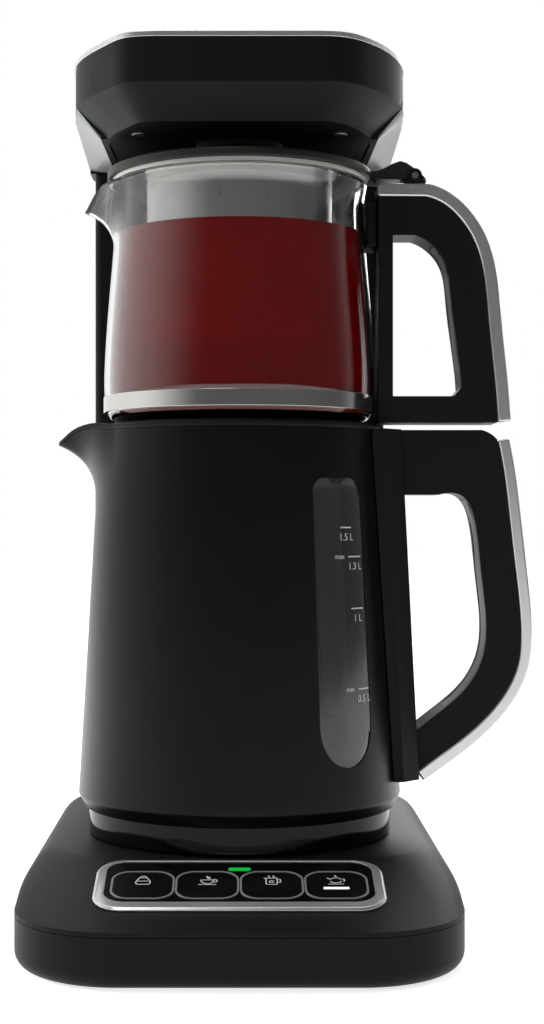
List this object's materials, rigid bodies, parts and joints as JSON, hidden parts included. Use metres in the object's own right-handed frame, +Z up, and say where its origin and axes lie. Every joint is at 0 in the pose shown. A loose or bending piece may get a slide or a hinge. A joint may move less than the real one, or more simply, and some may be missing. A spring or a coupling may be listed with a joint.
{
  "type": "automatic tea maker",
  "caption": "Electric kettle on a powered base with a glass teapot on top and a tower whose head rains hot water through the teapot's lid.",
  "frame": {"origin": "on the standing plane, at the axis of the kettle and teapot", "axes": "+Z up, -Y towards the control panel, +X towards the handles"},
  "size_m": [0.2254, 0.2728, 0.387],
  "materials": {
    "matte_black": "matte black moulded plastic",
    "inner_grey": "grey inner moulding",
    "gloss_black": "gloss black plastic",
    "satin_metal": "satin black coated steel",
    "bright_steel": "bright steel",
    "silver_trim": "bright metal trim",
    "light_satin": "light grey satin",
    "panel_glass": "gloss black panel",
    "smoke_window": "smoky clear window",
    "clear_glass": "clear glass",
    "green_lens": "green lens",
    "soft_rubber": "soft rubber",
    "silicone": "silicone hose and seals",
    "board_green": "circuit board",
    "motor_steel": "plated steel"
  },
  "bodies": {
    "stand": {"base_cover": "matte_black", "base_tray": "matte_black", "rubber_feet": "soft_rubber", "base_screws": "motor_steel", "cord_gland": "soft_rubber", "panel_bezel": "silver_trim", "panel_glass": "panel_glass", "status_lens": "green_lens", "key_rings": "silver_trim", "key_switches": "inner_grey", "key_board": "board_green", "board_pillars": "inner_grey", "base_connector": "inner_grey", "pump_housing": "inner_grey", "pump_motor": "motor_steel", "inlet_hose": "silicone", "riser_hose": "silicone", "power_board": "board_green", "column_front_cover": "matte_black", "column_rear_cover": "matte_black", "head_shell": "matte_black", "side_rail_left": "light_satin", "side_rail_right": "light_satin", "head_trim": "silver_trim", "head_top_cover": "matte_black", "head_underside": "matte_black", "head_screws": "motor_steel", "shower_head": "inner_grey"},
    "kettle": {"kettle_body": "satin_metal", "water_window": "smoke_window", "window_seal": "soft_rubber", "kettle_collar": "gloss_black", "kettle_socket": "inner_grey", "heating_plate": "bright_steel", "heating_ring": "motor_steel", "valve_body": "inner_grey", "valve_spring": "motor_steel", "kettle_rim": "matte_black", "handle_mount": "matte_black", "handle_grip": "matte_black", "handle_liner": "soft_rubber", "handle_spine": "silver_trim"},
    "teapot": {"teapot_glass": "clear_glass", "teapot_band": "bright_steel", "infuser_basket": "bright_steel", "hinge_bracket": "bright_steel", "lid_pin": "bright_steel", "lid_gasket": "silicone", "teapot_grip": "matte_black", "teapot_liner": "soft_rubber", "teapot_spine": "silver_trim", "clamp_boss": "matte_black"},
    "lid": {"teapot_lid": "matte_black"},
    "poppet": {"valve_poppet": "inner_grey"},
    "rotor": {"pump_rotor": "inner_grey"},
    "key_warm_water": {"key_warm_water": "gloss_black"},
    "key_coffee": {"key_coffee": "gloss_black"},
    "key_boil": {"key_boil": "gloss_black"},
    "key_brew": {"key_brew": "gloss_black"}
  },
  "joints": [
    {"name": "kettle_lift", "type": "slide", "parent": "stand", "child": "kettle", "axis": [0, 0, 1], "range_m": [0, 0.008]},
    {"name": "teapot_pull", "type": "slide", "parent": "kettle", "child": "teapot", "axis": [0, -1, 0], "range_m": [0, 0.22]},
    {"name": "lid_hinge", "type": "hinge", "parent": "teapot", "child": "lid", "pos_m": [0.08, 0, 0.3384], "axis": [0, 1, 0], "range_deg": [0, 4]},
    {"name": "poppet_close", "type": "slide", "parent": "kettle", "child": "poppet", "axis": [0, 0, -1], "range_m": [0, 0.0024], "deforming": ["valve_spring"]},
    {"name": "pump_spin", "type": "hinge", "parent": "stand", "child": "rotor", "pos_m": [0, 0.084, 0.012], "axis": [0, 0, 1], "continuous": true},
    {"name": "key_warm_water_press", "type": "slide", "parent": "stand", "child": "key_warm_water", "axis": [0, 0.2362, -0.9717], "range_m": [0, 0.0008], "stiffness_N_per_m": 400},
    {"name": "key_coffee_press", "type": "slide", "parent": "stand", "child": "key_coffee", "axis": [0, 0.2362, -0.9717], "range_m": [0, 0.0008], "stiffness_N_per_m": 400},
    {"name": "key_boil_press", "type": "slide", "parent": "stand", "child": "key_boil", "axis": [0, 0.2362, -0.9717], "range_m": [0, 0.0008], "stiffness_N_per_m": 400},
    {"name": "key_brew_press", "type": "slide", "parent": "stand", "child": "key_brew", "axis": [0, 0.2362, -0.9717], "range_m": [0, 0.0008], "stiffness_N_per_m": 400}
  ],
  "couplings": [
    {"joint": "poppet_close", "follows": "kettle_lift", "ratio": 0.3}
  ]
}
